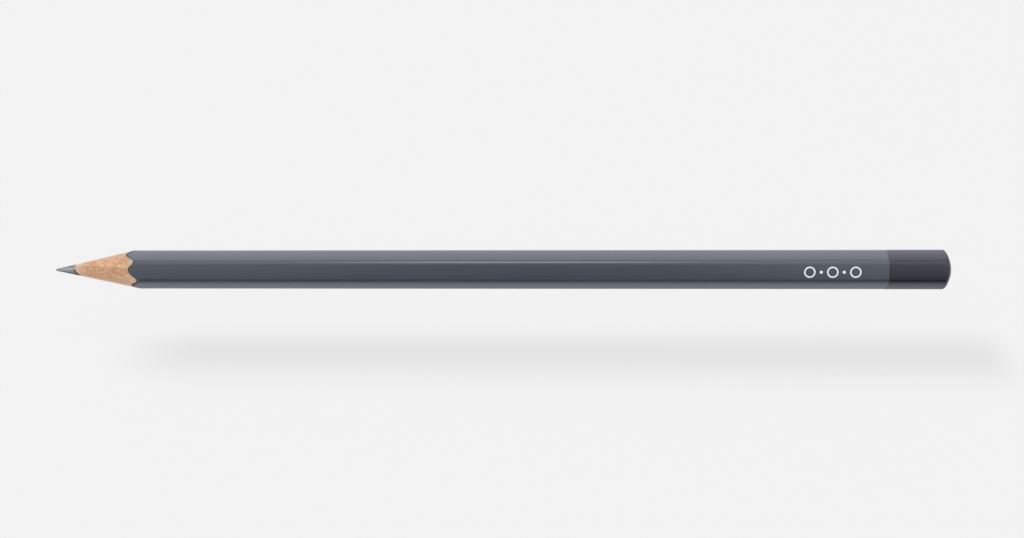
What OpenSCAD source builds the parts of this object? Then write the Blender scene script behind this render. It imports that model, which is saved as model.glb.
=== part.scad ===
// Hexagonal wooden pencil, sharpened at one end and dipped at the other.
// X runs along the pencil with the point towards -X and the middle of its length at X = 0.
// Z is up. The pencil lies on one of its flats, and the lowest face is at Z = 0.
// All sizes are in millimetres and all angles in degrees.

/* [Wood] */
// Length from the tip of the point to the top of the domed end
overall_length = 178; // [80:0.5:220]
// Width of the bare wood across its flats
wood_flats = 6.94; // [5.5:0.02:9]
// Radius of the rounded edges of the bare wood
arris_radius = 1.15; // [0.2:0.05:1.6]
// Radius of the dome that the blunt end is sanded to
dome_radius = 6.2; // [4.5:0.1:12]

/* [Core] */
// Diameter of the graphite core
core_diameter = 2.4; // [1.4:0.1:3.4]
// How far the core and the seam lie below the middle of the hexagon
seam_drop = 0.16; // [0:0.01:0.25]
// Thickness of the glue between the two slats
seam_glue = 0.06; // [0.03:0.01:0.15]
// Thickness of the glue between the core and its groove
core_glue = 0.05; // [0.03:0.01:0.15]

/* [Point] */
// Full angle of the sharpened cone
point_angle = 25; // [18:0.5:34]
// Radius of the worn tip
tip_radius = 0.2; // [0.05:0.05:0.5]
// Angle by which the cone leans sideways from the pencil's own axis
point_skew = 1.2; // [-2:0.1:2]
// Distance from the tip to where the cone's axis crosses the pencil's
skew_crossing = 6; // [0:0.5:15]

/* [Paint] */
// Thickness of the pale primer on the wood
primer_thickness = 0.03; // [0.03:0.01:0.15]
// Thickness of the coloured lacquer on the primer
lacquer_thickness = 0.05; // [0.03:0.01:0.2]
// Thickness of the dark dip on the lacquer and on the domed end
dip_thickness = 0.04; // [0.03:0.01:0.2]
// Length of the dipped end, dome included
dip_length = 12.4; // [5:0.1:40]

/* [Print] */
// Distance from the middle of the print to the edge of the dip
print_setback = 10.8; // [8:0.1:40]
// Distance between the middles of neighbouring rings
ring_pitch = 4.4; // [3:0.1:8]
// Number of rings in the row
ring_count = 3; // [1:1:5]
// Outer diameter of a ring
ring_diameter = 2.2; // [1:0.1:2.6]
// Width of a ring's line
ring_line = 0.28; // [0.15:0.01:0.5]
// Diameter of the dots between the rings
dot_diameter = 0.6; // [0.3:0.05:0.9]
// Thickness of the foil
foil_thickness = 0.03; // [0.02:0.01:0.1]

/* [Hidden] */

$fn = 72;
arris_fn = 48;
tip_steps = 6;
spare = 1;
hexagon_sides = 6;
side_angle = 360 / hexagon_sides;

primer_flats = wood_flats + 2 * primer_thickness;
lacquer_flats = primer_flats + 2 * lacquer_thickness;
dip_flats = lacquer_flats + 2 * dip_thickness;
axis_height = dip_flats / 2;

tip_x = -overall_length / 2;
end_x = overall_length / 2;
dip_edge_x = end_x - dip_length;
dome_centre_x = end_x - dip_thickness - dome_radius;

core_radius = core_diameter / 2;
groove_radius = core_radius + core_glue;
waste_radius = dip_flats;

half_angle = point_angle / 2;
tip_setback = tip_radius / sin(half_angle) - tip_radius;
tip_step_angle = (90 - half_angle) / tip_steps;
tip_corner_radius = tip_radius / cos(tip_step_angle / 2);
cone_radius = waste_radius + overall_length * tan(abs(point_skew));
cone_length = cone_radius / tan(half_angle);

print_x = dip_edge_x - print_setback;
first_ring_x = print_x - (ring_count - 1) / 2 * ring_pitch;

// Turns what is drawn along +Z so that it runs along +X.
module along_x() {
    rotate([90, 0, 90]) children();
}

// Lifts the pencil's axis to the height at which its lowest flat is at Z = 0.
module lifted() {
    translate([0, 0, axis_height]) children();
}

// Hexagon with rounded corners, lying on a flat, for a layer of the given total thickness over the wood.
module hexagon(layer) {
    offset(r = arris_radius + layer, $fn = arris_fn)
        circle(r = (wood_flats / 2 - arris_radius) / cos(side_angle / 2), $fn = hexagon_sides);
}

// Hexagonal bar between two places along the pencil.
module hexagon_bar(layer, from_x, to_x) {
    translate([from_x, 0, 0]) along_x() linear_extrude(to_x - from_x) hexagon(layer);
}

// Everything that is left inside the sharpener's cone, from the worn tip outwards.
module point_envelope() {
    tip_arc = [for (i = [0 : tip_steps - 1])
        let (turn = (i + 0.5) * tip_step_angle)
            [tip_corner_radius * sin(turn), tip_setback + tip_radius - tip_corner_radius * cos(turn)]];
    outline = concat([[0, tip_setback]], tip_arc, [
        [cone_radius, cone_length],
        [cone_radius, overall_length + cone_length],
        [0, overall_length + cone_length]
    ]);
    translate([tip_x + skew_crossing, 0, 0])
        rotate([0, 0, point_skew])
            translate([-skew_crossing - tip_setback, 0, 0])
                along_x() rotate_extrude() polygon(outline);
}

// What is sanded off outside the dome on the blunt end, for a dome raised by the given layer.
module dome_waste(layer) {
    translate([dome_centre_x, 0, 0]) difference() {
        along_x() cylinder(r = waste_radius, h = dome_radius + layer + 2 * spare);
        sphere(r = dome_radius + layer);
    }
}

// Bar of the given layer with the domed end, still without its point.
module blank(layer) {
    difference() {
        hexagon_bar(layer, tip_x - spare, end_x + spare);
        dome_waste(0);
    }
}

// Cuts the sharpened point on whatever it is given.
module sharpened() {
    intersection() {
        children();
        point_envelope();
    }
}

// Round bar on the core's own axis, as long as the blank.
module core_bar(radius) {
    translate([tip_x - spare, 0, -seam_drop])
        along_x() cylinder(r = radius, h = overall_length + 2 * spare);
}

// Slab on the seam's plane, wider than the blank, from one height to another.
module seam_slab(from_z, to_z) {
    translate([tip_x - spare, -waste_radius, from_z - seam_drop])
        cube([overall_length + 2 * spare, 2 * waste_radius, to_z - from_z]);
}

// One wooden half between two heights over the seam, with its groove.
module slat(from_z, to_z) {
    sharpened() difference() {
        intersection() {
            blank(0);
            seam_slab(from_z, to_z);
        }
        core_bar(groove_radius);
    }
}

module slat_upper() {
    color([0.84, 0.66, 0.48]) lifted() slat(seam_glue / 2, wood_flats);
}

module slat_lower() {
    color([0.80, 0.61, 0.45]) lifted() slat(-wood_flats, -seam_glue / 2);
}

module graphite_core() {
    color([0.36, 0.37, 0.39]) lifted() sharpened() difference() {
        core_bar(core_radius);
        dome_waste(0);
    }
}

// Glue in the seam and all round the core, in one piece.
module glue_film() {
    color([0.62, 0.47, 0.32]) lifted() sharpened() difference() {
        intersection() {
            blank(0);
            union() {
                seam_slab(-seam_glue / 2, seam_glue / 2);
                core_bar(groove_radius);
            }
        }
        core_bar(core_radius);
    }
}

// Coat of paint on the blank, from one layer's face to the next.
module coat(inner, outer) {
    sharpened() difference() {
        blank(outer);
        hexagon_bar(inner, tip_x - 2 * spare, end_x + 2 * spare);
    }
}

module primer_coat() {
    color([0.82, 0.79, 0.73]) lifted() coat(0, primer_thickness);
}

module lacquer_coat() {
    color([0.34, 0.36, 0.40]) lifted() coat(primer_thickness, primer_thickness + lacquer_thickness);
}

// Cup of dark paint over the lacquered sides and the bare domed end.
module end_dip() {
    lacquered = primer_thickness + lacquer_thickness;
    color([0.24, 0.24, 0.27]) lifted() difference() {
        hexagon_bar(lacquered + dip_thickness, dip_edge_x, end_x + spare);
        dome_waste(dip_thickness);
        blank(lacquered);
    }
}

// Row of plain rings with a dot between each two, on the flat that faces up and to the front.
module foil_print() {
    color([0.90, 0.90, 0.92]) lifted()
        rotate([side_angle, 0, 0])
            translate([first_ring_x, 0, lacquer_flats / 2])
                linear_extrude(foil_thickness) {
                    for (i = [0 : ring_count - 1])
                        translate([i * ring_pitch, 0]) ring();
                    for (i = [0 : 1 : ring_count - 2])
                        translate([(i + 0.5) * ring_pitch, 0]) circle(d = dot_diameter);
                }
}

module ring() {
    difference() {
        circle(d = ring_diameter);
        circle(d = ring_diameter - 2 * ring_line);
    }
}

slat_upper();
slat_lower();
graphite_core();
glue_film();
primer_coat();
lacquer_coat();
end_dip();
foil_print();
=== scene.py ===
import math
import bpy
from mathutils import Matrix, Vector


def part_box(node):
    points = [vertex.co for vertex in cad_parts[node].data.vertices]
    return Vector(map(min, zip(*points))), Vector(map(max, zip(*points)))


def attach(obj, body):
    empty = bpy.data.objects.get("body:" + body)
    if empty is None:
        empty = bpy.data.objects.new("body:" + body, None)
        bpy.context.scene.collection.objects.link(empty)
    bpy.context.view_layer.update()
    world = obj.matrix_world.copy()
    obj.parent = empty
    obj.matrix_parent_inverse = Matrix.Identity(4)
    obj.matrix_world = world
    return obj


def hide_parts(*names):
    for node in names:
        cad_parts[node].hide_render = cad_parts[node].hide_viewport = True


bl_info = {
    "name": "Wooden Pencil",
    "version": (1, 0, 0),
    "blender": (4, 5, 0),
    "location": "View3D > Sidebar > Pencil",
    "description": "Finished surfaces of a lacquered wooden pencil, built round its packed frame",
    "category": "Add Mesh",
}

from typing import NamedTuple

import bmesh
import bpy
import numpy as np
from bpy.props import FloatProperty, FloatVectorProperty, IntProperty, PointerProperty
from bpy.types import NodeSocket, Operator, Panel, PropertyGroup
from mathutils import Matrix, Quaternion, Vector

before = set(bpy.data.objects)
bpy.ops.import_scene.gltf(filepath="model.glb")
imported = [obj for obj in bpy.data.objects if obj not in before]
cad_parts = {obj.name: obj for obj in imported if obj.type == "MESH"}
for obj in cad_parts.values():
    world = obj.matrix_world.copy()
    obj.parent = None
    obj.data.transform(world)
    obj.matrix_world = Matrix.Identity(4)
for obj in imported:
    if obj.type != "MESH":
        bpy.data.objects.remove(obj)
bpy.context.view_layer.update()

BODY = "root"
MM = 0.001
SIDES = 6
SIDE_ANGLE = math.tau / SIDES
PRINT_SIDE = 2
WHITE = (1.0, 1.0, 1.0)

# Steps across a flat and round an edge of each hexagonal layer
SLAT_STEPS = (48, 14)
COAT_STEPS = (48, 16)
DIP_STEPS = (30, 16)

# Steps of the slats from the groove outwards, and the search for the seam on their outline
SLAT_RINGS = 56
SEAM_SEARCH = 0.2
SEAM_TRIES = 4001
SEAM_CLEAR = 0.004

# Steps of the core and the glue
CORE_COLUMNS = 120
CORE_RINGS = 48
CORE_CROWDING = 1.25
SEAM_COLUMNS = 24
SEAM_EDGE_GAP = 0.01 * MM

# Steps through a coat and along the lacquer, with one close behind the cut edge
COAT_RINGS = 4
CUT_STATION = 0.0019
SHANK_STATIONS = 42

# Rounded lip of the dip: distance from its edge in millimetres and share of the dip's thickness there
DIP_LIP = ((0.0, 0.25), (0.012, 0.62), (0.04, 0.86), (0.1, 0.97), (0.2, 1.0), (0.45, 1.0))
DIP_SIDE_LINES = 12
DIP_EDGE_LINES = 9
DIP_DOME_LINES = 20
DIP_INSIDE_LINES = 14

# Softened edge of the foil: share of its soft width inwards and share of its thickness there
FOIL_EDGE = ((0.0, 0.0), (0.0, 0.45), (0.4, 0.85), (1.0, 1.0))
FOIL_SOFT = 0.25
FOIL_COLUMNS = 72

# Uneven lines round the pencil, with a seed for each layer
WANDER_WAVES = 16
WANDER_FALL = 0.4
WANDER_REACH = 1.6
ROUND_WAVES = (2, 24)
ROUND_WANDER = 0.2
DIP_WAVES = (2, 14)
PRIMER_WANDER = 0.35
WOOD_SEED = 11
PRIMER_SEED = 12
GROOVE_SEED = 13
CORE_SEED = 14
DIP_SEED = 21

# Rounds after which the crowned outline and the leaning cone have settled
CROWN_ROUNDS = 6
LEAN_ROUNDS = 8

# Tints that brighten as well as darken, and the way towards the lower front in which graphite was dragged
# over the glue, which also paints the shadow at the core's lower edge
WARM_PATCH = (1.06, 0.915, 0.82)
PALE_PATCH = (0.96, 1.05, 1.02)
# Bluer tint of the floor's painted reflection
FLOOR_GLOSS_TINT = (0.93, 0.98, 1.1)
ROOM_TINT = (0.97, 1.0, 1.05)
STAIN_AND_SHADE_WAY = (0.0, -0.77, -0.64)

# Places of the factor, the two colours and the result among a colour mix node's sockets
MIX_INPUTS = (0, 6, 7)
MIX_OUTPUT = 2

# Wooden halves: name, node, slot, side of the seam, pith of the growth rings and shift of the grain. The
# piths are placed so that the rings paint shade on the cone, lighter over its top and darker from its front
# down
SLATS = (
    ("upper_slat", "slat_upper", "wood_upper", 1, (0, 7.36, 5.64), 7.0),
    ("lower_slat", "slat_lower", "wood_lower", -1, (0, -6.2, 5.0), 1.0),
)

# Cards that only show in the gloss, as painted dark and bright reflections: name, glow and corners on the
# floor plan
CARDS = (
    ("front_card", 0.01, ((-0.44, -0.6), (0.7, -0.6), (0.7, -0.022), (-0.085, -0.022))),
    ("end_card", 0.5, ((0.0885, 0.006), (0.6, 0.006), (0.6, 0.5), (0.0885, 0.5))),
    ("lead_card", 1.1, ((-1.0, -0.6), (-0.47, -0.6), (-0.09, -0.019), (-0.3, -0.019))),
    ("tip_card", 0.1, ((-0.12, -0.009), (-0.086, -0.009), (-0.086, 0.02), (-0.12, 0.02))),
)

# Soft rectangular lights: name, place, aim, roll in degrees, size and power
SOFTBOXES = (
    ("top_softbox", (-0.031, -0.09, 0.6), (0.0, 0.0, 0.0), 0, (0.17, 0.2), 0.54),
    ("left_softbox", (-0.738, -0.35, 0.543), (-0.085, 0.0, 0.0), -32, (1.4, 0.3), 2.8),
)

# Reach of the floor in metres, and the ways in which the far lights shine
FLOOR_REACH = 12.0
SUN_WAYS = ((0.68, -0.664, -1.0), (0.68, -0.452, -1.0), (0.68, -0.24, -1.0))


def span(axis, *nodes):
    """Lowest and highest place of some frame nodes along one axis."""
    boxes = [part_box(node) for node in nodes]
    return min(low[axis] for low, high in boxes), max(high[axis] for low, high in boxes)


def height(*nodes):
    """Height of some frame nodes together, which is their width across the flats."""
    low, high = span(2, *nodes)
    return high - low


AXIS_Z = sum(span(2, "end_dip")) / 2


# Sizes and colours


def length_prop(name, description, default):
    return FloatProperty(name=name, description=description, default=default, unit="LENGTH", precision=6)


def angle_prop(name, description, degrees):
    return FloatProperty(name=name, description=description, default=math.radians(degrees), unit="ROTATION")


def colour_prop(name, description, default):
    return FloatVectorProperty(
        name=name, description=description, default=default, subtype="COLOR", size=3, min=0, max=1
    )


def share_prop(name, description, default, top=1.0):
    return FloatProperty(name=name, description=description, default=default, min=0, max=top)


class PencilSizes(PropertyGroup):
    wood_flats: length_prop("Wood", "Bare wood across its flats", height("slat_upper", "slat_lower"))
    primer_flats: length_prop("Primer", "Primed wood across its flats", height("primer_coat"))
    lacquer_flats: length_prop("Lacquer", "Lacquered shank across its flats", height("lacquer_coat"))
    dip_flats: length_prop("Dip", "Dipped end across its flats", height("end_dip"))
    tip_x: length_prop("Tip", "Place of the tip along the pencil", span(0, "graphite_core")[0])
    dip_edge_x: length_prop("Dip edge", "Place of the dip's edge along the pencil", span(0, "end_dip")[0])
    end_x: length_prop("End", "Place of the domed end along the pencil", span(0, "end_dip")[1])
    arris_radius: length_prop("Arris", "Radius of the rounded edges of the lacquer", 1.23 * MM)
    primer_arris: length_prop("Primer arris", "Radius of the rounded edges of the primer", 1.38 * MM)
    wood_arris: length_prop("Wood arris", "Radius of the rounded edges of the bare wood", 2.0 * MM)
    thin_lacquer: length_prop("Thin lacquer", "Least lacquer over the primer's edges", 0.012 * MM)
    crown: length_prop("Crown", "How far a painted flat falls off towards its edges", 0.035 * MM)
    drag: angle_prop("Drag", "Turn of the wood and primer inside the unevenly wiped lacquer", 3.5)
    dip_crown: length_prop("Dip crown", "How far a dipped flat falls off towards its edges", 0.055 * MM)
    dome_radius: length_prop("Dome", "Radius of the sanded end under the dip", 6.2 * MM)
    dome_fillet: length_prop("Dome edge", "Radius of the softened edge round the dome", 0.40 * MM)
    core_diameter: length_prop("Core", "Diameter of the graphite core", 2.36 * MM)
    core_drop: length_prop("Core drop", "How far the core's groove lies below the middle", 0.16 * MM)
    core_aside: length_prop("Core aside", "How far the core lies behind the middle of its groove", 0.045 * MM)
    core_lift: length_prop("Core lift", "How far the core lies above the middle of its groove", 0.036 * MM)
    seam_glue: length_prop("Seam glue", "Thickness of the glue between the slats", 0.06 * MM)
    core_glue: length_prop("Core glue", "Thickness of the glue round the core", 0.07 * MM)
    point_angle: angle_prop("Point", "Full angle of the sharpened cone", 25)
    point_skew: angle_prop("Lean", "Sideways lean of the sharpened cone", 1.2)
    skew_crossing: length_prop("Lean crossing", "From the tip to where the leaning axis crosses", 6 * MM)
    tip_radius: length_prop("Tip radius", "Radius of the worn tip", 0.2 * MM)
    cut_wander: length_prop("Cut wander", "Unevenness of the layers where they are cut", 0.016 * MM)
    dip_wander: length_prop("Dip wander", "Unevenness of the dip's edge", 0.05 * MM)


class PrintSizes(PropertyGroup):
    middle_x: length_prop("Middle", "Place of the print along the pencil", sum(span(0, "foil_print")) / 2)
    ring_count: IntProperty(name="Rings", description="Number of rings in the row", default=3, min=1)
    ring_pitch: length_prop("Pitch", "Distance between the middles of neighbouring rings", 4.4 * MM)
    ring_diameter: length_prop("Ring", "Outer diameter of a ring", 2.2 * MM)
    ring_line: length_prop("Line", "Width of a ring's line", 0.28 * MM)
    dot_diameter: length_prop("Dot", "Diameter of the dots between the rings", 0.6 * MM)
    foil_thickness: length_prop("Foil", "Thickness of the foil", 0.025 * MM)


class PencilFinish(PropertyGroup):
    wood_light: colour_prop("Early wood", "Pale wood between the growth rings", (0.66, 0.418, 0.272))
    wood_dark: colour_prop("Late wood", "Darker wood of the growth rings", (0.416, 0.226, 0.1245))
    wood_fleck: colour_prop("Fleck", "Short dark flecks along the grain", (0.27, 0.125, 0.062))
    wood_smudge: colour_prop("Wood smudge", "Wood greyed by the core's dust", (0.60, 0.455, 0.365))
    wood_sheen: colour_prop("Wood sheen", "Tint of the fine fuzz on the cut wood", (0.8, 0.9, 1.0))
    lower_tone: share_prop("Lower slat", "Brightness of the lower slat against the upper one", 1.07, 2)
    graphite: colour_prop("Graphite", "Sharpened graphite", (0.25, 0.255, 0.262))
    glue: colour_prop("Glue", "Dried glue in the seam", (0.44, 0.25, 0.14))
    # Partly graphite stain, partly painted shadow on the lower front side of the core
    stained_shaded_glue: colour_prop("Stained glue", "Glue round the core, stained by graphite", (0.05, 0.036, 0.03))
    primer: colour_prop("Primer", "Pale primer", (0.45, 0.37, 0.312))
    lacquer: colour_prop("Lacquer", "Slate-grey lacquer", (0.0355, 0.0405, 0.0555))
    lacquer_sheen: colour_prop("Lacquer sheen", "Tint of the lacquer's reflections", (0.93, 0.97, 1.0))
    lacquer_mirror: share_prop("Lacquer mirror", "Strength of the lacquer's reflections", 0.75)
    lacquer_roughness: share_prop("Lacquer roughness", "How matt the lacquer is", 0.22)
    # Browner paint on the cut face: partly its own matt look, partly painted shade along the cut edge
    cut_paint_shade: colour_prop("Cut paint", "Paint where the sharpener cut it", (0.058, 0.042, 0.034))
    dip: colour_prop("Dip", "Charcoal dip", (0.0082, 0.0080, 0.0130))
    dip_sheen: colour_prop("Dip sheen", "Tint of the dip's reflections", (0.9, 0.87, 1.0))
    dip_mirror: share_prop("Dip mirror", "Strength of the dip's reflections", 0.63)
    dip_roughness: share_prop("Dip roughness", "How matt the dip is", 0.27)
    foil: colour_prop("Foil", "White foil", (0.70, 0.71, 0.76))


class StudioSettings(PropertyGroup):
    floor_gap: length_prop("Floor gap", "From the pencil's lowest flat down to the floor", 12.8 * MM)
    card_gap: length_prop("Card gap", "From the pencil's lowest flat down to the cards", 7.6 * MM)
    floor_shade: share_prop("Floor shade", "How much of its light the floor shows, with the shadow", 0.02)
    floor_glow: share_prop("Floor glow", "Evenly pale part of the floor's look", 0.7196)
    # Dimmer in reflections than to the camera: painted shade under the pencil in its reflections
    floor_gloss: share_prop("Floor gloss", "Evenly pale part of the floor's look in gloss", 0.57)
    floor_bounce: share_prop("Floor bounce", "Light that the floor throws back up", 1.2, 2)
    sun_power: FloatProperty(name="Sun power", description="Strength of each far light", default=9.65, min=0)
    sun_width: angle_prop("Sun width", "Angle that each far light spans", 14.2)
    lens: FloatProperty(name="Lens", description="Focal length in millimetres", default=50, unit="CAMERA")
    elevation: angle_prop("Elevation", "Height of the camera above the horizon", 38.6)
    yaw: angle_prop("Yaw", "Turn of the camera to the left of square", 3.37)
    distance: length_prop("Distance", "From the camera to the middle of the pencil", 282.66 * MM)
    aside: length_prop("Aside", "How far the pencil's middle is left of the picture's", 3.38 * MM)
    below: length_prop("Below", "How far the pencil's middle is below the picture's", 0.10 * MM)


# Outlines of the layers


def wander(angles, seed, slowest=4, fastest=60):
    """Uneven line round the pencil, mostly between -1 and 1, the same on each run."""
    random = np.random.default_rng(seed)
    waves = random.integers(slowest, fastest, WANDER_WAVES)
    phases = random.uniform(0, math.tau, WANDER_WAVES)
    weights = (slowest / waves) ** WANDER_FALL
    line = sum(w * np.sin(n * angles + p) for w, n, p in zip(weights, waves, phases))
    return line / (WANDER_REACH * math.sqrt((weights**2).sum()))


def polar(radii, angles):
    return np.stack([radii * np.cos(angles), radii * np.sin(angles)], -1)


class Hexagon:
    """Outline of one layer across the pencil: six crowned flats with rounded edges, lying on a flat."""

    def __init__(self, flats, corner, crown):
        half = SIDE_ANGLE / 2
        self.apothem = flats / 2
        self.corner = corner
        reach = (self.apothem - corner) * math.tan(half)
        for _ in range(CROWN_ROUNDS):
            lean = math.atan(2 * crown / reach)
            self.centre = (self.apothem - crown - corner * math.cos(lean)) / math.cos(half)
            reach = self.centre * math.sin(half) + corner * math.sin(lean)
        self.bend = crown / reach**2
        self.flat_end = math.atan2(reach, self.apothem - crown)

    def radius(self, angles):
        """Distance from the axis to the outline at each angle."""
        turn = np.abs(np.mod(angles, SIDE_ANGLE) - SIDE_ANGLE / 2)
        cos, sin = np.cos(turn), np.sin(turn)
        flat = 2 * self.apothem / (cos + np.sqrt(cos**2 + 4 * self.bend * self.apothem * sin**2))
        off = SIDE_ANGLE / 2 - turn
        chord = np.sqrt(np.maximum(self.corner**2 - (self.centre * np.sin(off)) ** 2, 0))
        return np.where(turn < self.flat_end, flat, self.centre * np.cos(off) + chord)

    def angles(self, flat_steps, corner_steps):
        """Angles of one turn, close together round the edges."""
        flat = np.linspace(-self.flat_end, self.flat_end, flat_steps, endpoint=False)
        corner = np.linspace(self.flat_end, SIDE_ANGLE - self.flat_end, corner_steps, endpoint=False)
        side = np.concatenate([flat, corner]) + SIDE_ANGLE / 2
        return np.concatenate([side + i * SIDE_ANGLE for i in range(SIDES)])

    def rise(self, across):
        """Height of the crowned flat over the axis at a distance across it from its middle."""
        return self.apothem - self.bend * across**2


class Blank:
    """Outlines and end surfaces that the pencil's layers share, about the pencil's own axis."""

    def __init__(self, sizes):
        self.sizes = sizes
        self.dip_thickness = (sizes.dip_flats - sizes.lacquer_flats) / 2
        self.wood = Hexagon(sizes.wood_flats, sizes.wood_arris, sizes.crown)
        self.primer = Hexagon(sizes.primer_flats - sizes.cut_wander, sizes.primer_arris, sizes.crown)
        self.lacquer = Hexagon(sizes.lacquer_flats, sizes.arris_radius, sizes.crown)
        self.dip = Hexagon(sizes.dip_flats, sizes.arris_radius + self.dip_thickness, sizes.dip_crown)
        self.dome_x = sizes.end_x - self.dip_thickness - sizes.dome_radius
        self.core_radius = sizes.core_diameter / 2
        self.groove_radius = self.core_radius + sizes.core_glue
        half = sizes.point_angle / 2
        self.tan = math.tan(half)
        self.tip_setback = sizes.tip_radius / math.sin(half) - sizes.tip_radius
        self.nose_end = sizes.tip_radius * math.cos(half)
        self.lean = math.cos(sizes.point_skew), math.sin(sizes.point_skew)
        apex = sizes.skew_crossing + self.tip_setback
        crossing_x = sizes.tip_x + sizes.skew_crossing
        self.apex = crossing_x - apex * self.lean[0], -apex * self.lean[1]

    def primer_radius(self, angles):
        uneven = self.sizes.cut_wander * wander(angles, PRIMER_SEED)
        primer = self.primer.radius(angles + self.sizes.drag) + uneven
        return np.minimum(primer, self.lacquer.radius(angles) - self.sizes.thin_lacquer)

    def wood_radius(self, angles):
        turned = angles + self.sizes.drag
        primer = self.primer.radius(turned) - self.wood.radius(turned)
        return self.primer_radius(angles) - primer * (1 + PRIMER_WANDER * wander(angles, WOOD_SEED))

    def round_outline(self, radius, angles, seed):
        uneven = ROUND_WANDER * self.sizes.cut_wander * wander(angles, seed, *ROUND_WAVES)
        return polar(radius + uneven, angles)

    def groove_outline(self, angles):
        ring = self.round_outline(self.groove_radius, angles, GROOVE_SEED)
        return ring - np.array([0, self.sizes.core_drop])

    def core_outline(self, angles):
        ring = self.round_outline(self.core_radius, angles, CORE_SEED)
        return ring + np.array([self.sizes.core_aside, self.sizes.core_lift - self.sizes.core_drop])

    def sharpened(self, y, z):
        """Place along the pencil of the sharpened cone or its worn tip over a spot of the section."""
        cos, sin = self.lean
        radius = self.sizes.tip_radius
        along = np.zeros_like(y)
        for _ in range(LEAN_ROUNDS):
            aside = (y - self.apex[1]) * cos - along * sin
            off = np.sqrt(aside**2 + z**2)
            nose = self.tip_setback + radius - np.sqrt(np.maximum(radius**2 - off**2, 0))
            depth = np.where(off < self.nose_end, nose, off / self.tan)
            along = (depth - (y - self.apex[1]) * sin) / cos
        return self.apex[0] + along

    def domed(self, y, z):
        """Place along the pencil of the sanded dome over a spot of the section."""
        return self.dome_x + np.sqrt(self.sizes.dome_radius**2 - y**2 - z**2)


# Skins and pieces


class Skin(NamedTuple):
    """Closed surface about the pencil's axis, with the rims that stay sharp and the points of its front."""

    points: list
    faces: list
    rims: list
    front: np.ndarray | None = None


def bar_skin(section, front, back, turns=True, stations=()):
    """Closed skin over a cross-section grid of rings by columns, between a front and a back surface.

    A section whose first ring is one spot is closed there. The stations are extra rings along the outside.
    """
    rings, columns = section.shape[:2]
    solid = np.allclose(section[0], section[0, 0])
    y, z = section[..., 0], section[..., 1]
    front_x, back_x = front(y, z), back(y, z)
    points, faces, rims = [], [], []

    def layer(x, ys, zs):
        first = len(points)
        points.extend(np.stack([x, ys, zs], -1).reshape(-1, 3).tolist())
        return first + np.arange(np.size(x))

    grids = []
    for x in (front_x, back_x):
        if solid:
            middle = layer(x[0, :1], y[0, :1], z[0, :1])
            rest = layer(x[1:], y[1:], z[1:]).reshape(rings - 1, columns)
            grids.append(np.vstack([np.repeat(middle, columns), rest]))
        else:
            grids.append(layer(x, y, z).reshape(rings, columns))
    front_ids, back_ids = grids
    steps = columns if turns else columns - 1

    def strip(a, b):
        for i in range(steps):
            k = (i + 1) % columns
            face = [a[i], a[k], b[k], b[i]]
            faces.append([v for n, v in enumerate(face) if v not in face[:n]])

    for j in range(rings - 1):
        strip(front_ids[j], front_ids[j + 1])
        strip(back_ids[j + 1], back_ids[j])
    walls = [front_ids[-1]]
    for share in stations:
        x = front_x[-1] + (back_x[-1] - front_x[-1]) * share
        walls.append(layer(x, y[-1], z[-1]))
    walls.append(back_ids[-1])
    for a, b in zip(walls, walls[1:]):
        strip(a, b)
    if not solid:
        strip(back_ids[0], front_ids[0])
    if not turns:
        for j in range(rings - 1):
            faces.append([front_ids[j, 0], front_ids[j + 1, 0], back_ids[j + 1, 0], back_ids[j, 0]])
            faces.append([front_ids[j + 1, -1], front_ids[j, -1], back_ids[j, -1], back_ids[j + 1, -1]])
    for ids in (front_ids, back_ids):
        rims.append(ids[-1])
        if not solid:
            rims.append(ids[0])
        if not turns:
            rims.extend([ids[:, 0], ids[:, -1]])
    if not turns:
        rims.extend([np.array([front_ids[j, i], back_ids[j, i]]) for j in (0, -1) for i in (0, -1)])
    return Skin(points, [[int(v) for v in face] for face in faces], rims, front_ids)


def ring_faces(pairs):
    """Four-sided faces between pairs of closed rings."""
    faces = []
    for a, b in pairs:
        for i in range(len(a)):
            k = (i + 1) % len(a)
            faces.append([a[i], a[k], b[k], b[i]])
    return faces


def join_skins(skins):
    """One skin from several."""
    points, faces, rims = [], [], []
    for skin in skins:
        first = len(points)
        points.extend(skin.points)
        faces.extend([[v + first for v in face] for face in skin.faces])
        rims.extend([np.asarray(rim) + first for rim in skin.rims])
    return Skin(points, faces, rims)


def link(thing):
    bpy.context.scene.collection.objects.link(thing)


def add_piece(name, node, skin, finish, cut_ids=()):
    """Makes one closed piece from a skin, in place of a frame node, and marks the points that were cut."""
    mesh = bpy.data.meshes.new(name)
    mesh.from_pydata([(x, y, z + AXIS_Z) for x, y, z in skin.points], [], skin.faces)
    if mesh.validate(verbose=False):
        raise RuntimeError(f"{name}: the skin has bad faces")
    work = bmesh.new()
    work.from_mesh(mesh)
    bmesh.ops.recalc_face_normals(work, faces=work.faces)
    open_edges = [e for e in work.edges if len(e.link_faces) != 2]
    if open_edges:
        raise RuntimeError(f"{name}: {len(open_edges)} edges are open")
    work.to_mesh(mesh)
    work.free()
    mesh.polygons.foreach_set("use_smooth", [True] * len(mesh.polygons))
    sharp = set()
    for rim in skin.rims:
        ring = [int(v) for v in rim]
        sharp.update(tuple(sorted(pair)) for pair in zip(ring, ring[1:] + ring[:1]))
    marks = [tuple(sorted(e.vertices)) in sharp for e in mesh.edges]
    mesh.attributes.new("sharp_edge", "BOOLEAN", "EDGE").data.foreach_set("value", marks)
    cut = np.zeros(len(mesh.vertices), np.float32)
    cut[np.asarray(cut_ids, int)] = 1
    mesh.attributes.new("cut", "FLOAT", "POINT").data.foreach_set("value", cut)
    mesh.materials.append(finish)
    piece = bpy.data.objects.new(name, mesh)
    link(piece)
    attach(piece, BODY)
    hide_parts(node)


# Materials


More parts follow.
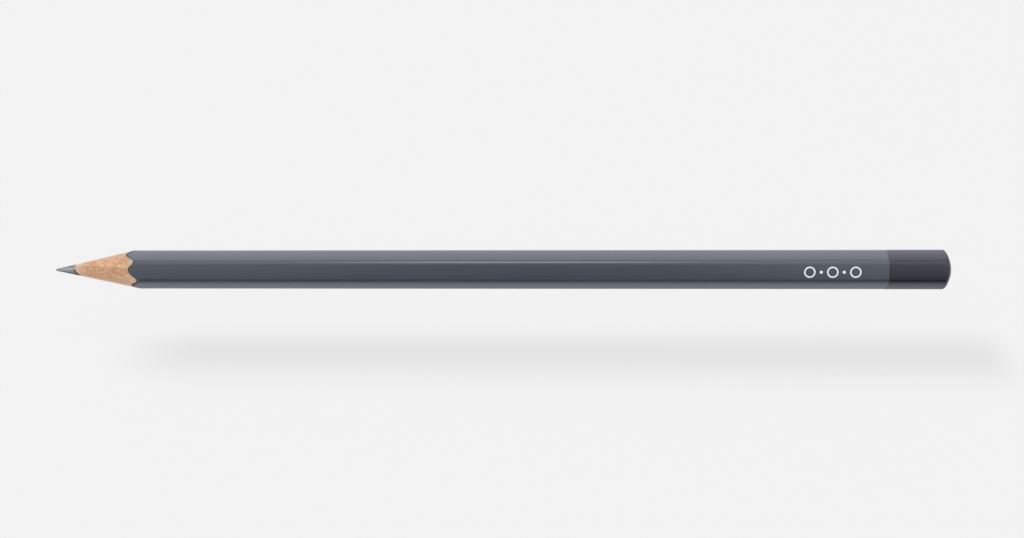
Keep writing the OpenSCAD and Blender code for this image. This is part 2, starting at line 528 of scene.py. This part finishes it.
class NodeSetup:
    """Nodes of a material or a world while they are put together."""

    def __init__(self, owner):
        owner.use_nodes = True
        self.tree = owner.node_tree
        self.tree.nodes.clear()

    def feed(self, socket, value):
        """Links another node's output to a socket, or sets a constant on it."""
        if isinstance(value, NodeSocket):
            self.tree.links.new(value, socket)
        else:
            socket.default_value = value

    def add(self, kind, inputs=None, **settings):
        node = self.tree.nodes.new(kind)
        for key, value in settings.items():
            setattr(node, key, value)
        for key, value in (inputs or {}).items():
            self.feed(node.inputs[key], value)
        return node

    def ranged(self, value, source, target=(0.0, 1.0), smooth=False):
        """Value taken from one range to another, and held at its ends."""
        node = self.add(
            "ShaderNodeMapRange",
            dict(zip(("Value", "From Min", "From Max", "To Min", "To Max"), (value, *source, *target))),
            interpolation_type="SMOOTHSTEP" if smooth else "LINEAR",
        )
        return node.outputs["Result"]

    def maths(self, operation, a, b=0.0):
        return self.add("ShaderNodeMath", {0: a, 1: b}, operation=operation).outputs["Value"]


class Finish(NodeSetup):
    """A node material while it is put together."""

    def __init__(self, name):
        self.material = bpy.data.materials.new(name)
        super().__init__(self.material)

    def place(self, scale, offset=(0, 0, 0)):
        """Place on the pencil in millimetres, stretched by a scale for each axis."""
        coords = self.add("ShaderNodeTexCoord")
        mapped = self.add(
            "ShaderNodeMapping",
            {"Vector": coords.outputs["Object"], "Scale": [v / MM for v in scale], "Location": offset},
        )
        return mapped.outputs["Vector"]

    def about_line(self, line_z):
        """Place across the pencil in millimetres, from a line along it at a height."""
        return self.place((0, 1, 1), (0, 0, -line_z / MM))

    def off_line(self, line_z):
        """Distance in millimetres from a line along the pencil at a height."""
        inputs = {0: self.about_line(line_z)}
        return self.add("ShaderNodeVectorMath", inputs, operation="LENGTH").outputs["Value"]

    def noise(self, scale, offset=(0, 0, 0), detail=3.0, roughness=0.55):
        node = self.add(
            "ShaderNodeTexNoise",
            {"Vector": self.place(scale, offset), "Scale": 1.0, "Detail": detail, "Roughness": roughness},
        )
        return node.outputs["Fac"]

    def mix(self, factor, a, b, blend="MIX"):
        node = self.add("ShaderNodeMix", data_type="RGBA", blend_type=blend)
        for i, value in zip(MIX_INPUTS, (factor, a, b)):
            self.feed(node.inputs[i], value)
        return node.outputs[MIX_OUTPUT]

    def bump(self, heights, depth):
        node = self.add("ShaderNodeBump", {"Height": heights, "Distance": depth, "Strength": 1.0})
        return node.outputs["Normal"]

    def surface(self, **inputs):
        names = {key.replace("_", " "): value for key, value in inputs.items()}
        shader = self.add("ShaderNodeBsdfPrincipled", names)
        return self.output(shader)

    def output(self, shader):
        self.add("ShaderNodeOutputMaterial", {"Surface": shader.outputs[0]})
        return self.material


def rgba(colour, tone=1.0):
    return [*(channel * tone for channel in colour), 1.0]


def wood_finish(name, look, tone, pith, shift):
    """Raw softwood with growth rings, mottle, fibres and flecks along the grain, smudged by the core. The
    rings also paint shade on the cone: lighter over its top and darker from its front down.
    """
    f = Finish(name)
    place = f.place((0.02, 1, 1), pith)
    # Real growth rings, set by the pith to paint shade: a light ring over the top of the cone, a dark one on
    # its front
    rings = f.add(
        "ShaderNodeTexWave",
        {"Vector": place, "Scale": 0.0748, "Distortion": 0.5, "Detail": 2.0, "Detail Scale": 0.5},
        wave_type="RINGS",
        rings_direction="X",
        wave_profile="SAW",
    ).outputs["Fac"]
    broad = f.noise((0.4, 0.9, 0.9), (shift, 2, 6), detail=2.0, roughness=0.5)
    mottle = f.noise((1.3, 2.8, 2.8), (shift, 3, 1), detail=4.0, roughness=0.65)
    streaks = f.noise((0.3, 2.4, 2.4), (shift, 4, 0), detail=2.0, roughness=0.5)
    fibres = f.noise((0.5, 9, 9), (shift, 0, 5), roughness=0.6)
    flecks = f.noise((1.1, 6.5, 6.5), (0, shift, 2), detail=2.0, roughness=0.5)
    patches = f.noise((0.35, 0.7, 0.7), (shift, 7, 3), detail=2.0, roughness=0.5)
    late = f.ranged(rings, (0.0, 1.0), (0.0, 0.6))
    for share in (
        f.ranged(broad, (0.38, 0.62), (0.0, 0.25)),
        f.ranged(mottle, (0.36, 0.64), (-0.3, 0.6)),
        f.ranged(streaks, (0.4, 0.6), (0.0, 0.2)),
    ):
        late = f.maths("ADD", late, share)
    colour = f.mix(late, rgba(look.wood_light, tone), rgba(look.wood_dark, tone))
    colour = f.mix(f.ranged(fibres, (0.35, 0.75), (0.0, 0.3)), colour, rgba(look.wood_dark, tone))
    hue = f.mix(f.ranged(patches, (0.38, 0.62)), rgba(WARM_PATCH), rgba(PALE_PATCH))
    colour = f.mix(1.0, colour, hue, "MULTIPLY")
    fleck_share = f.ranged(flecks, (0.55, 0.68), (0.0, 0.85), smooth=True)
    colour = f.mix(fleck_share, colour, rgba(look.wood_fleck, tone))
    near_core = f.ranged(f.off_line(AXIS_Z), (1.75, 1.15), (0.0, 0.5), smooth=True)
    smudge = f.maths("MULTIPLY", near_core, f.ranged(mottle, (0.3, 0.6), (0.4, 1.0)))
    colour = f.mix(smudge, colour, rgba(look.wood_smudge))
    relief = f.maths("ADD", fibres, f.maths("MULTIPLY", flecks, -0.8))
    return f.surface(
        Base_Color=colour,
        Roughness=f.ranged(fibres, (0.3, 0.7), (0.58, 0.78)),
        Normal=f.bump(relief, 0.012 * MM),
        Specular_IOR_Level=0.3,
        Sheen_Weight=0.55,
        Sheen_Roughness=0.4,
        Sheen_Tint=rgba(look.wood_sheen),
    )


def graphite_finish(look):
    """Fired graphite with the fine turning marks of a sharpener."""
    f = Finish("graphite")
    turned = f.noise((16, 1.5, 1.5), (2, 0, 0), roughness=0.6)
    patches = f.noise((2.5, 2.5, 2.5), (7, 1, 0), roughness=0.6)
    share = f.ranged(patches, (0.35, 0.65), (0.0, 0.8))
    return f.surface(
        Base_Color=f.mix(share, rgba(look.graphite, 1.1), rgba(look.graphite, 0.5)),
        Metallic=0.55,
        Roughness=f.ranged(turned, (0.3, 0.7), (0.30, 0.46)),
        Normal=f.bump(turned, 0.008 * MM),
    )


def glue_finish(look, sizes):
    """Dried glue, about as brown as the wood in the seam and dirtied by graphite round the core, darkest on
    its lower front side, where that darkening also paints a shadow.
    """
    f = Finish("glue")
    core_z = AXIS_Z - sizes.core_drop
    groove = (sizes.core_diameter / 2 + sizes.core_glue) / MM
    stain = f.noise((3, 5, 5), (1, 2, 0))
    colour = f.mix(f.ranged(stain, (0.35, 0.7)), rgba(look.glue), rgba(look.glue, 0.7))
    near_core = f.ranged(f.off_line(core_z), (groove + 0.3, groove + 0.05))
    # Darker towards the lower front of the core: partly graphite stain, partly painted shadow at the core's
    # lower edge
    dragged_and_shaded = f.add(
        "ShaderNodeVectorMath", {0: f.about_line(core_z), 1: STAIN_AND_SHADE_WAY}, operation="DOT_PRODUCT"
    ).outputs["Value"]
    dragged_and_shaded = f.ranged(dragged_and_shaded, (-0.5, 0.6), (0.1, 1.0), smooth=True)
    colour = f.mix(f.maths("MULTIPLY", near_core, dragged_and_shaded), colour, rgba(look.stained_shaded_glue))
    return f.surface(
        Base_Color=colour,
        Roughness=f.ranged(stain, (0.3, 0.7), (0.5, 0.7)),
        Normal=f.bump(stain, 0.01 * MM),
    )


def primer_finish(look):
    """Matt pale undercoat, a little chalky where it is cut."""
    f = Finish("primer")
    chalk = f.noise((5, 9, 9), (4, 0, 1))
    return f.surface(
        Base_Color=f.mix(f.ranged(chalk, (0.35, 0.7)), rgba(look.primer), rgba(look.primer, 0.78)),
        Roughness=f.ranged(chalk, (0.3, 0.7), (0.65, 0.85)),
        Normal=f.bump(chalk, 0.01 * MM),
    )


def paint_finish(name, look, paint, shift):
    """Satin paint with long streaks and a fine orange peel, matt and dull where it is cut, with a browner
    colour there that paints shade along the cut edge.
    """
    colour = getattr(look, paint)
    sheen, mirror, roughness = (getattr(look, f"{paint}_{part}") for part in ("sheen", "mirror", "roughness"))
    f = Finish(name)
    streaks = f.noise((0.035, 2.2, 2.2), (0, shift, 0))
    clouds = f.noise((0.10, 0.5, 0.5), (shift, 0, 3), detail=2.0)
    peel = f.noise((2.6, 5.0, 5.0), (shift, 1, 0), detail=2.0, roughness=0.5)
    cut = f.add("ShaderNodeAttribute", attribute_name="cut").outputs["Fac"]
    warmer = (colour[0] * 1.05, colour[1], colour[2] * 0.98)
    tint = f.mix(f.ranged(streaks, (0.3, 0.7)), rgba(colour, 0.92), rgba(colour, 1.08))
    tint = f.mix(f.ranged(clouds, (0.3, 0.7), (0.0, 0.5)), tint, rgba(warmer))
    # Painted shade: the cut face takes the browner cut colour
    tint = f.mix(cut, tint, rgba(look.cut_paint_shade))
    matt = f.ranged(streaks, (0.25, 0.75), (roughness - 0.04, roughness + 0.05))
    relief = f.maths("ADD", peel, f.maths("MULTIPLY", streaks, 0.7))
    return f.surface(
        Base_Color=tint,
        Roughness=f.maths("ADD", matt, f.ranged(cut, (0.0, 1.0), (0.0, 0.6))),
        Normal=f.bump(relief, 0.0018 * MM),
        Specular_IOR_Level=mirror,
        Specular_Tint=rgba(sheen),
    )


def foil_finish(look):
    """Hot-stamped white foil with tiny pinholes."""
    f = Finish("foil")
    grain = f.noise((9, 9, 9), (0, 6, 2), detail=2.0)
    pinholes = f.ranged(grain, (0.58, 0.72), (0.0, 0.5), smooth=True)
    return f.surface(
        Base_Color=f.mix(pinholes, rgba(look.foil), rgba(look.lacquer, 2.2)),
        Roughness=f.ranged(grain, (0.3, 0.7), (0.35, 0.5)),
        Normal=f.bump(grain, 0.004 * MM),
    )


def floor_finish(studio):
    """Evenly pale floor that keeps a soft shadow, throws light back up and is clear from below."""
    f = Finish("pale_floor")
    rays = f.add("ShaderNodeLightPath").outputs
    seen = f.maths("MAXIMUM", rays["Is Camera Ray"], rays["Is Glossy Ray"])
    seen = f.maths("MAXIMUM", seen, rays["Is Transmission Ray"])
    bounce = f.add("ShaderNodeEmission", {"Color": rgba(WHITE), "Strength": studio.floor_bounce})
    shade = f.add("ShaderNodeBsdfDiffuse", {"Color": rgba(WHITE, studio.floor_shade)})
    # Painted shade in reflections: the floor shows dimmer and bluer in gloss than to the camera
    strength = f.ranged(rays["Is Camera Ray"], (0.0, 1.0), (studio.floor_gloss, studio.floor_glow))
    tone = f.mix(rays["Is Camera Ray"], rgba(FLOOR_GLOSS_TINT), rgba(WHITE))
    glow = f.add("ShaderNodeEmission", {"Color": tone, "Strength": strength})
    look = f.add("ShaderNodeAddShader", {0: shade.outputs[0], 1: glow.outputs[0]})
    top = f.add("ShaderNodeMixShader", {0: seen, 1: bounce.outputs[0], 2: look.outputs[0]})
    under = f.add("ShaderNodeBsdfTransparent")
    back = f.add("ShaderNodeNewGeometry").outputs["Backfacing"]
    return f.output(f.add("ShaderNodeMixShader", {0: back, 1: top.outputs[0], 2: under.outputs[0]}))


def reflection_card_finish(name, glow):
    """Evenly bright card, seen only in reflections, where it paints a dark or bright reflection."""
    f = Finish(name)
    return f.output(f.add("ShaderNodeEmission", {"Color": rgba(WHITE), "Strength": glow}))


# Operators


class PENCIL_OT_slats(Operator):
    """Build the two grooved wooden slats, cut to the sharpened cone in front"""

    bl_idname = "pencil.slats"
    bl_label = "Wooden Slats"

    def execute(self, context):
        sizes = context.scene.pencil_sizes
        look = context.scene.pencil_finish
        blank = Blank(sizes)
        for name, node, slot, up, pith, shift in SLATS:
            section = self.half_section(blank, sizes, up)
            skin = bar_skin(section, blank.sharpened, blank.domed, turns=False)
            tone = 1.0 if up > 0 else look.lower_tone
            finish = wood_finish(f"{name}_wood", look, tone, pith, shift)
            add_piece(name, node, skin, finish)
        return {"FINISHED"}

    @staticmethod
    def seam_ends(blank, seam_z):
        """Angles at which the wood's outline meets the seam, at the back and in front."""
        tries = np.linspace(-SEAM_SEARCH, SEAM_SEARCH, SEAM_TRIES)
        ends = []
        for angles in (tries, math.pi - tries):
            rise = blank.wood_radius(angles) * np.sin(tries)
            ends.append(angles[np.argmin(np.abs(rise - seam_z))])
        return ends

    @classmethod
    def half_section(cls, blank, sizes, up):
        """Grid from the groove out to the flats of one slat, over or under the seam."""
        seam_z = -sizes.core_drop + up * sizes.seam_glue / 2
        back, front = cls.seam_ends(blank, seam_z)
        low, high = (back, front) if up > 0 else (front, back + math.tau)
        turn = blank.wood.angles(*SLAT_STEPS)
        turn = np.concatenate([turn, turn + math.tau])
        inner = turn[(turn > low + SEAM_CLEAR) & (turn < high - SEAM_CLEAR)]
        angles = np.concatenate([[low], inner, [high]])
        outer = polar(blank.wood_radius(angles), angles)
        outer[[0, -1], 1] = seam_z
        about_core = np.unwrap(np.arctan2(outer[:, 1] + sizes.core_drop, outer[:, 0]))
        edge = math.asin(sizes.seam_glue / 2 / blank.groove_radius)
        start = 0.0 if up > 0 else math.pi
        groove_ends = [start + edge, start + math.pi - edge]
        groove = blank.groove_outline(np.interp(about_core, about_core[[0, -1]], groove_ends))
        groove[[0, -1], 1] = seam_z
        shares = np.linspace(0, 1, SLAT_RINGS)[:, None, None]
        return groove + (outer - groove) * shares


class PENCIL_OT_core(Operator):
    """Build the graphite core with its sharpened point"""

    bl_idname = "pencil.core"
    bl_label = "Graphite Core"

    def execute(self, context):
        blank = Blank(context.scene.pencil_sizes)
        angles = np.linspace(0, math.tau, CORE_COLUMNS, endpoint=False)
        rim = blank.core_outline(angles)
        tip = np.array([blank.apex[1] + blank.tip_setback * blank.lean[1], 0.0])
        shares = (np.linspace(0, 1, CORE_RINGS) ** CORE_CROWDING)[:, None, None]
        skin = bar_skin(tip + (rim - tip) * shares, blank.sharpened, blank.domed)
        finish = graphite_finish(context.scene.pencil_finish)
        add_piece("graphite_lead", "graphite_core", skin, finish)
        return {"FINISHED"}


class PENCIL_OT_glue(Operator):
    """Build the film of glue in the seam and round the core"""

    bl_idname = "pencil.glue"
    bl_label = "Glue Film"

    def execute(self, context):
        sizes = context.scene.pencil_sizes
        blank = Blank(sizes)
        angles = np.linspace(0, math.tau, CORE_COLUMNS, endpoint=False)
        core = blank.core_outline(angles)
        groove = blank.groove_outline(angles)
        skins = [bar_skin(np.stack([core, (core + groove) / 2, groove]), blank.sharpened, blank.domed)]
        across = np.array([-1.0, 0.0, 1.0]) * sizes.seam_glue / 2 - sizes.core_drop
        for side, angle in ((1, 0.0), (-1, math.pi)):
            start = blank.groove_radius + sizes.core_glue / 2
            reach = float(blank.wood_radius(np.array([angle]))[0]) - SEAM_EDGE_GAP
            along = side * np.linspace(start, reach, SEAM_COLUMNS)
            section = np.stack(np.broadcast_arrays(along[:, None], across[None, :]), -1)
            skins.append(bar_skin(section, blank.sharpened, blank.domed, turns=False))
        finish = glue_finish(context.scene.pencil_finish, sizes)
        add_piece("glue_line", "glue_film", join_skins(skins), finish)
        return {"FINISHED"}


class PENCIL_OT_coats(Operator):
    """Build the primer and the lacquer, cut in scallops by the sharpener"""

    bl_idname = "pencil.coats"
    bl_label = "Paint Coats"

    def execute(self, context):
        look = context.scene.pencil_finish
        blank = Blank(context.scene.pencil_sizes)
        angles = blank.lacquer.angles(*COAT_STEPS)
        wood = polar(blank.wood_radius(angles), angles)
        primer = polar(blank.primer_radius(angles), angles)
        lacquer = polar(blank.lacquer.radius(angles), angles)
        shares = np.linspace(0, 1, COAT_RINGS)[:, None, None]
        skin = bar_skin(wood + (primer - wood) * shares, blank.sharpened, blank.domed)
        add_piece("primer_skin", "primer_coat", skin, primer_finish(look))
        stations = [CUT_STATION, *np.linspace(0, 1, SHANK_STATIONS)[1:-1]]
        section = primer + (lacquer - primer) * shares
        skin = bar_skin(section, blank.sharpened, blank.domed, stations=stations)
        finish = paint_finish("slate_lacquer", look, "lacquer", shift=3.0)
        add_piece("lacquer_skin", "lacquer_coat", skin, finish, skin.front.ravel())
        return {"FINISHED"}


class PENCIL_OT_dip(Operator):
    """Build the dipped end with its rounded lip and dome"""

    bl_idname = "pencil.dip"
    bl_label = "Dipped End"

    def execute(self, context):
        sizes = context.scene.pencil_sizes
        look = context.scene.pencil_finish
        blank = Blank(sizes)
        angles = blank.dip.angles(*DIP_STEPS)
        under = blank.lacquer.radius(angles)
        edge = sizes.dip_edge_x + sizes.dip_wander * wander(angles, DIP_SEED, *DIP_WAVES)
        outside = self.outside(blank, sizes, under, blank.dip.radius(angles), edge)
        inside = self.inside(blank, under, edge)
        skin = self.cup(outside, inside, angles, blank, sizes)
        finish = paint_finish("charcoal_dip", look, "dip", shift=9.0)
        add_piece("dipped_end", "end_dip", skin, finish)
        return {"FINISHED"}

    @staticmethod
    def outside(blank, sizes, under, side, edge):
        """Lines along the outside, from the lip to just short of the pole, as places and radii."""
        sphere = sizes.dome_radius + blank.dip_thickness
        fillet = sizes.dome_fillet
        bend_x = blank.dome_x + np.sqrt((sphere - fillet) ** 2 - (side - fillet) ** 2)
        lines = [(edge + step * MM, under + (side - under) * rise) for step, rise in DIP_LIP]
        lip_end = lines[-1][0]
        for share in np.linspace(0, 1, DIP_SIDE_LINES)[1:]:
            lines.append((lip_end + (bend_x - lip_end) * share, side))
        last = np.arctan2(side - fillet, bend_x - blank.dome_x)
        for share in np.linspace(0, 1, DIP_EDGE_LINES)[1:]:
            turn = math.pi / 2 + (last - math.pi / 2) * share
            lines.append((bend_x + fillet * np.cos(turn), side - fillet + fillet * np.sin(turn)))
        for share in np.linspace(1, 0, DIP_DOME_LINES)[1:-1]:
            lines.append((blank.dome_x + sphere * np.cos(last * share), sphere * np.sin(last * share)))
        return lines

    @staticmethod
    def inside(blank, under, edge):
        """Lines along the inside, from just off the pole back to the lip."""
        lines = []
        for share in np.linspace(0, 1, DIP_INSIDE_LINES)[1:]:
            radii = under * share
            lines.append((blank.domed(radii, 0 * radii), radii))
        lines.append((edge, under))
        return lines

    @staticmethod
    def cup(outside, inside, angles, blank, sizes):
        """Closed skin of the cup, with a pole outside and one inside."""
        columns = len(angles)
        points, rings = [], []
        for x, radii in outside + inside:
            first = len(points)
            points.extend(np.column_stack([x, polar(radii, angles)]).tolist())
            rings.append(range(first, first + columns))
        poles = len(points), len(points) + 1
        points.append([blank.dome_x + sizes.dome_radius + blank.dip_thickness, 0.0, 0.0])
        points.append([blank.dome_x + sizes.dome_radius, 0.0, 0.0])
        outer, inner = rings[: len(outside)], rings[len(outside) :]
        faces = ring_faces([*zip(outer, outer[1:]), *zip(inner, inner[1:]), (inner[-1], outer[0])])
        for i in range(columns):
            k = (i + 1) % columns
            faces.append([outer[-1][i], outer[-1][k], poles[0]])
            faces.append([inner[0][k], inner[0][i], poles[1]])
        return Skin(points, faces, [np.array(ring) for ring in (inner[-1], outer[0], inner[-2])])


class PENCIL_OT_print(Operator):
    """Build the row of plain foil rings and dots on one flat"""

    bl_idname = "pencil.print"
    bl_label = "Foil Print"

    def execute(self, context):
        sizes = context.scene.print_sizes
        flat = Blank(context.scene.pencil_sizes).lacquer
        first = sizes.middle_x - (sizes.ring_count - 1) / 2 * sizes.ring_pitch
        thick = sizes.foil_thickness
        outer = sizes.ring_diameter / 2
        inner = outer - sizes.ring_line
        dot = sizes.dot_diameter / 2
        skins = []
        for i in range(sizes.ring_count):
            skins.append(self.stamp(flat, first + i * sizes.ring_pitch, inner, outer, thick))
        for i in range(sizes.ring_count - 1):
            skins.append(self.stamp(flat, first + (i + 0.5) * sizes.ring_pitch, 0.0, dot, thick))
        finish = foil_finish(context.scene.pencil_finish)
        add_piece("foil_rings", "foil_print", join_skins(skins), finish)
        return {"FINISHED"}

    @classmethod
    def stamp(cls, flat, middle_x, inner, outer, thick):
        """One ring or dot, draped over the crowned flat, with softened edges."""
        turn = np.linspace(0, math.tau, FOIL_COLUMNS, endpoint=False)
        soft = FOIL_SOFT * (outer - inner)
        profile = [(outer - soft * share, thick * rise) for share, rise in FOIL_EDGE]
        if inner:
            profile += [(inner + soft * share, thick * rise) for share, rise in reversed(FOIL_EDGE)]
        points = []
        for radius, rise in profile:
            along, across = radius * np.cos(turn), radius * np.sin(turn)
            spots = cls.on_side(across, flat.rise(across) + rise)
            points.extend(np.column_stack([middle_x + along, *spots]).tolist())
        rings = [[j * FOIL_COLUMNS + i for i in range(FOIL_COLUMNS)] for j in range(len(profile))]
        faces = ring_faces(zip(rings, rings[1:] + rings[:1] if inner else rings[1:]))
        if not inner:
            for ring, rise in ((rings[0], 0.0), (rings[-1], thick)):
                faces.extend([a, b, len(points)] for a, b in zip(ring, ring[1:] + ring[:1]))
                points.append([middle_x, *cls.on_side(0.0, flat.rise(0.0) + rise)])
        return Skin(points, faces, [np.arange(FOIL_COLUMNS)])

    @staticmethod
    def on_side(across, out):
        """Place across the pencil of a spot on the printed flat."""
        normal = (PRINT_SIDE + 0.5) * SIDE_ANGLE
        return (
            out * math.cos(normal) + across * math.sin(normal),
            out * math.sin(normal) - across * math.cos(normal),
        )


class PENCIL_OT_studio(Operator):
    """Set up the pale floor, the soft light and the camera"""

    bl_idname = "pencil.studio"
    bl_label = "Studio"

    def execute(self, context):
        studio = context.scene.studio_settings
        context.scene.view_settings.view_transform = "Standard"
        reach = FLOOR_REACH
        corners = [(-reach, -reach), (reach, -reach), (reach, reach), (-reach, reach)]
        floor = self.sheet("studio_floor", -studio.floor_gap, corners, floor_finish(studio))
        self.cards(studio)
        self.world(context)
        self.softboxes()
        self.suns(studio, floor)
        self.camera(context, studio)
        return {"FINISHED"}

    @staticmethod
    def sheet(name, z, corners, finish):
        """Flat sheet of the stage at one height, facing up, from its four corners."""
        mesh = bpy.data.meshes.new(name)
        mesh.from_pydata([(x, y, z) for x, y in corners], [], [(0, 1, 2, 3)])
        mesh.materials.append(finish)
        sheet = bpy.data.objects.new(name, mesh)
        link(sheet)
        return sheet

    def cards(self, studio):
        """Cards that paint reflections into the gloss: dark along the lower edge, on the dome and low on the
        lead, light above.
        """
        for name, glow, corners in CARDS:
            card = self.sheet(name, -studio.card_gap, corners, reflection_card_finish(name, glow))
            # Painted reflections: hidden from the camera, from diffuse light and from shadows
            for ray in ("camera", "diffuse", "transmission", "shadow"):
                setattr(card, f"visible_{ray}", False)

    @staticmethod
    def world(context):
        """Grey room, dark low down in front, light overhead and lightest low down behind the pencil."""
        world = bpy.data.worlds.new("studio_room")
        context.scene.world = world
        room = NodeSetup(world)
        way = room.add("ShaderNodeTexCoord").outputs["Generated"]
        x, y, z = room.add("ShaderNodeSeparateXYZ", {0: way}).outputs
        left = room.ranged(x, (-0.01, -0.24), (0.38, 1.45))
        right = room.ranged(x, (0.01, 0.19), (0.38, 2.1))
        front = room.ranged(z, (0.05, 0.5), (0.03, 0.68), smooth=True)
        front = room.maths("MULTIPLY", front, room.maths("MAXIMUM", left, right))
        front = room.maths("ADD", front, room.ranged(z, (0.55, 1.0), (0.0, 0.6), smooth=True))
        off = room.maths("ABSOLUTE", room.maths("ADD", x, 0.02))
        behind = room.ranged(z, (0.5, 0.85), (2.16, 1.2), smooth=True)
        behind = room.maths("MULTIPLY", behind, room.ranged(off, (0.32, 0.6), (1.0, 0.1), smooth=True))
        share = room.ranged(y, (-0.1, 0.5), smooth=True)
        step = room.maths("MULTIPLY", room.maths("SUBTRACT", behind, front), share)
        strength = room.maths("ADD", front, step)
        light = room.add("ShaderNodeBackground", {"Color": rgba(ROOM_TINT), "Strength": strength})
        room.add("ShaderNodeOutputWorld", {"Surface": light.outputs[0]})

    @staticmethod
    def softboxes():
        """A small soft light overhead and a larger one on the left for the lead."""
        for name, place, aim, roll, size, power in SOFTBOXES:
            data = bpy.data.lights.new(name, "AREA")
            data.shape = "RECTANGLE"
            data.size, data.size_y = size
            data.energy = power
            data.use_shadow = False
            lamp = bpy.data.objects.new(name, data)
            lamp.location = place
            lamp.rotation_mode = "QUATERNION"
            turn = Quaternion((0, 0, 1), math.radians(roll))
            lamp.rotation_quaternion = (Vector(aim) - Vector(place)).to_track_quat("-Z", "Y") @ turn
            lamp.visible_camera = False
            link(lamp)

    @staticmethod
    def suns(studio, floor):
        """Far lights from the back left that only light the floor, for the pencil's soft shadow."""
        lit = bpy.data.collections.new("sunlit")
        lit.objects.link(floor)
        for i, way in enumerate(SUN_WAYS):
            data = bpy.data.lights.new(f"shadow_sun_{i}", "SUN")
            data.energy = studio.sun_power
            data.angle = studio.sun_width
            sun = bpy.data.objects.new(f"shadow_sun_{i}", data)
            sun.rotation_mode = "QUATERNION"
            sun.rotation_quaternion = Vector(way).to_track_quat("-Z", "Y")
            link(sun)
            sun.light_linking.receiver_collection = lit

    @staticmethod
    def camera(context, studio):
        """Camera where the photograph was taken from, looking down on the pencil."""
        data = bpy.data.cameras.new("camera")
        data.sensor_width = 36
        data.lens = studio.lens
        data.clip_start = 0.01
        camera = bpy.data.objects.new("camera", data)
        e, t = studio.elevation, studio.yaw
        right = Vector((math.cos(t), math.sin(t) * math.cos(e), -math.sin(t) * math.sin(e)))
        up = Vector((0, math.sin(e), math.cos(e)))
        look = Vector((-math.sin(t), math.cos(t) * math.cos(e), -math.cos(t) * math.sin(e)))
        middle = Vector((0, 0, AXIS_Z))
        place = middle + right * studio.aside + up * studio.below - look * studio.distance
        turn = Matrix((right, up, -look)).transposed().to_4x4()
        camera.matrix_world = Matrix.Translation(place) @ turn
        link(camera)
        context.scene.camera = camera


class PENCIL_PT_panel(Panel):
    """Sizes and finishes of the pencil, with a button for each group of pieces"""

    bl_label = "Wooden Pencil"
    bl_idname = "PENCIL_PT_panel"
    bl_space_type = "VIEW_3D"
    bl_region_type = "UI"
    bl_category = "Pencil"

    def draw(self, context):
        layout = self.layout
        for group in GROUPS:
            values = getattr(context.scene, group)
            box = layout.box()
            for name in values.__annotations__:
                box.prop(values, name)
        for operator in OPERATORS:
            layout.operator(operator.bl_idname)


GROUPS = {
    "pencil_sizes": PencilSizes,
    "print_sizes": PrintSizes,
    "pencil_finish": PencilFinish,
    "studio_settings": StudioSettings,
}
OPERATORS = (
    PENCIL_OT_slats,
    PENCIL_OT_core,
    PENCIL_OT_glue,
    PENCIL_OT_coats,
    PENCIL_OT_dip,
    PENCIL_OT_print,
    PENCIL_OT_studio,
)


def register():
    for cls in (*GROUPS.values(), *OPERATORS, PENCIL_PT_panel):
        bpy.utils.register_class(cls)
    for name, cls in GROUPS.items():
        setattr(bpy.types.Scene, name, PointerProperty(type=cls))


def unregister():
    for name in GROUPS:
        delattr(bpy.types.Scene, name)
    for cls in reversed((*GROUPS.values(), *OPERATORS, PENCIL_PT_panel)):
        bpy.utils.unregister_class(cls)


def main():
    register()
    bpy.ops.pencil.slats()
    bpy.ops.pencil.core()
    bpy.ops.pencil.glue()
    bpy.ops.pencil.coats()
    bpy.ops.pencil.dip()
    bpy.ops.pencil.print()
    bpy.ops.pencil.studio()


if __name__ == "__main__":
    main()
